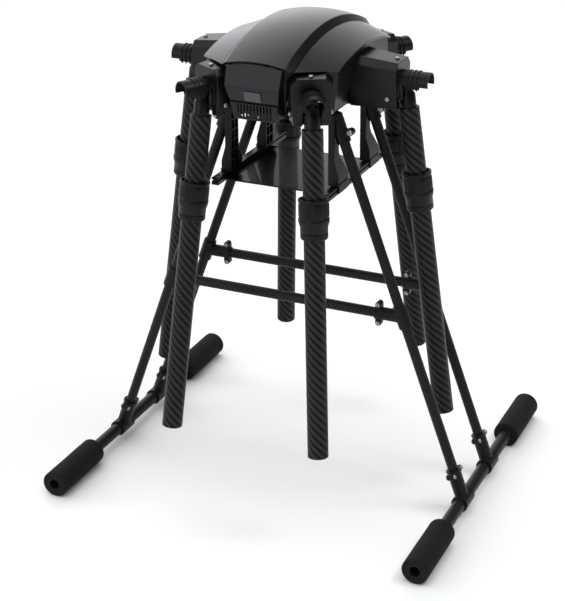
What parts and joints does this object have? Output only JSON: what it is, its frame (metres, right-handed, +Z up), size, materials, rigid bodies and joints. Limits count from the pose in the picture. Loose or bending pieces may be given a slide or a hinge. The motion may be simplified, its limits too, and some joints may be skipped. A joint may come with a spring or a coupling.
{
  "type": "folding drone airframe",
  "caption": "Folding multirotor airframe on tubular landing gear, its carbon arms hanging folded under a domed hub that carries a payload rack.",
  "frame": {"origin": "middle of the landing gear's footprint, at the lowest point of the foam sleeves", "axes": "+Z up; the vented and badged panel faces -Y; the skids run along Y"},
  "size_m": [0.6208, 0.536, 0.716],
  "materials": {
    "arm_tube_carbon": "twill carbon fibre tube, satin resin",
    "gear_tube_carbon": "twill carbon fibre tube, satin resin",
    "carbon_plate": "carbon fibre plate, matt",
    "plug_aluminium": "black anodised, satin",
    "rail_aluminium": "black anodised extrusion",
    "fitting_nylon": "glass-filled nylon moulding, satin black",
    "cover_plastic": "black ABS, semi-gloss",
    "hub_plastic": "black ABS, fine moulded texture",
    "badge_grey": "grey plate, blank",
    "bolt_steel": "zinc-plated steel",
    "foam": "closed-cell foam, matt black"
  },
  "bodies": {
    "airframe": {"badge_plate": "badge_grey", "clamp_bolts": "bolt_steel", "crossbar_tees": "fitting_nylon", "crossbars": "gear_tube_carbon", "foam_sleeves": "foam", "front_left_arm_socket": "hub_plastic", "front_left_leg": "gear_tube_carbon", "front_panel": "hub_plastic", "front_right_arm_socket": "hub_plastic", "front_right_leg": "gear_tube_carbon", "hinge_pins": "bolt_steel", "hinge_seats": "fitting_nylon", "hub_shell": "hub_plastic", "hub_spacers": "rail_aluminium", "left_arm_socket": "hub_plastic", "left_cover": "cover_plastic", "left_rail": "rail_aluminium", "left_skid": "gear_tube_carbon", "leg_clamps": "fitting_nylon", "lower_plate": "carbon_plate", "rack_posts": "fitting_nylon", "rack_tray": "carbon_plate", "rear_left_arm_socket": "hub_plastic", "rear_left_leg": "gear_tube_carbon", "rear_panel": "hub_plastic", "rear_right_arm_socket": "hub_plastic", "rear_right_leg": "gear_tube_carbon", "right_arm_socket": "hub_plastic", "right_cover": "cover_plastic", "right_rail": "rail_aluminium", "right_skid": "gear_tube_carbon", "skid_tees": "fitting_nylon", "socket_screws": "bolt_steel", "top_cover": "cover_plastic", "upper_plate": "carbon_plate"},
    "front_right_arm": {"front_right_arm_tube": "arm_tube_carbon", "front_right_hinge_plug": "plug_aluminium", "front_right_stop_ring": "fitting_nylon"},
    "front_right_collar": {"front_right_lock_collar": "fitting_nylon"},
    "right_arm": {"right_arm_tube": "arm_tube_carbon", "right_hinge_plug": "plug_aluminium", "right_stop_ring": "fitting_nylon"},
    "right_collar": {"right_lock_collar": "fitting_nylon"},
    "rear_right_arm": {"rear_right_arm_tube": "arm_tube_carbon", "rear_right_hinge_plug": "plug_aluminium", "rear_right_stop_ring": "fitting_nylon"},
    "rear_right_collar": {"rear_right_lock_collar": "fitting_nylon"},
    "rear_left_arm": {"rear_left_arm_tube": "arm_tube_carbon", "rear_left_hinge_plug": "plug_aluminium", "rear_left_stop_ring": "fitting_nylon"},
    "rear_left_collar": {"rear_left_lock_collar": "fitting_nylon"},
    "left_arm": {"left_arm_tube": "arm_tube_carbon", "left_hinge_plug": "plug_aluminium", "left_stop_ring": "fitting_nylon"},
    "left_collar": {"left_lock_collar": "fitting_nylon"},
    "front_left_arm": {"front_left_arm_tube": "arm_tube_carbon", "front_left_hinge_plug": "plug_aluminium", "front_left_stop_ring": "fitting_nylon"},
    "front_left_collar": {"front_left_lock_collar": "fitting_nylon"}
  },
  "joints": [
    {"name": "front_right_arm_fold", "type": "hinge", "parent": "airframe", "child": "front_right_arm", "pos_m": [0.082, -0.14203, 0.637], "axis": [-0.866, -0.5, 0], "range_deg": [0, 81.9]},
    {"name": "front_right_collar_slide", "type": "slide", "parent": "front_right_arm", "child": "front_right_collar", "axis": [-0.0701, 0.1214, 0.9901], "range_m": [0, 0.085]},
    {"name": "right_arm_fold", "type": "hinge", "parent": "airframe", "child": "right_arm", "pos_m": [0.164, 0, 0.637], "axis": [0, -1, 0], "range_deg": [0, 81.9]},
    {"name": "right_collar_slide", "type": "slide", "parent": "right_arm", "child": "right_collar", "axis": [-0.1402, 0, 0.9901], "range_m": [0, 0.085]},
    {"name": "rear_right_arm_fold", "type": "hinge", "parent": "airframe", "child": "rear_right_arm", "pos_m": [0.082, 0.14203, 0.637], "axis": [0.866, -0.5, 0], "range_deg": [0, 81.9]},
    {"name": "rear_right_collar_slide", "type": "slide", "parent": "rear_right_arm", "child": "rear_right_collar", "axis": [-0.0701, -0.1214, 0.9901], "range_m": [0, 0.085]},
    {"name": "rear_left_arm_fold", "type": "hinge", "parent": "airframe", "child": "rear_left_arm", "pos_m": [-0.082, 0.14203, 0.637], "axis": [0.866, 0.5, 0], "range_deg": [0, 81.9]},
    {"name": "rear_left_collar_slide", "type": "slide", "parent": "rear_left_arm", "child": "rear_left_collar", "axis": [0.0701, -0.1214, 0.9901], "range_m": [0, 0.085]},
    {"name": "left_arm_fold", "type": "hinge", "parent": "airframe", "child": "left_arm", "pos_m": [-0.164, 0, 0.637], "axis": [0, 1, 0], "range_deg": [0, 81.9]},
    {"name": "left_collar_slide", "type": "slide", "parent": "left_arm", "child": "left_collar", "axis": [0.1402, 0, 0.9901], "range_m": [0, 0.085]},
    {"name": "front_left_arm_fold", "type": "hinge", "parent": "airframe", "child": "front_left_arm", "pos_m": [-0.082, -0.14203, 0.637], "axis": [-0.866, 0.5, 0], "range_deg": [0, 81.9]},
    {"name": "front_left_collar_slide", "type": "slide", "parent": "front_left_arm", "child": "front_left_collar", "axis": [0.0701, 0.1214, 0.9901], "range_m": [0, 0.085]}
  ]
}
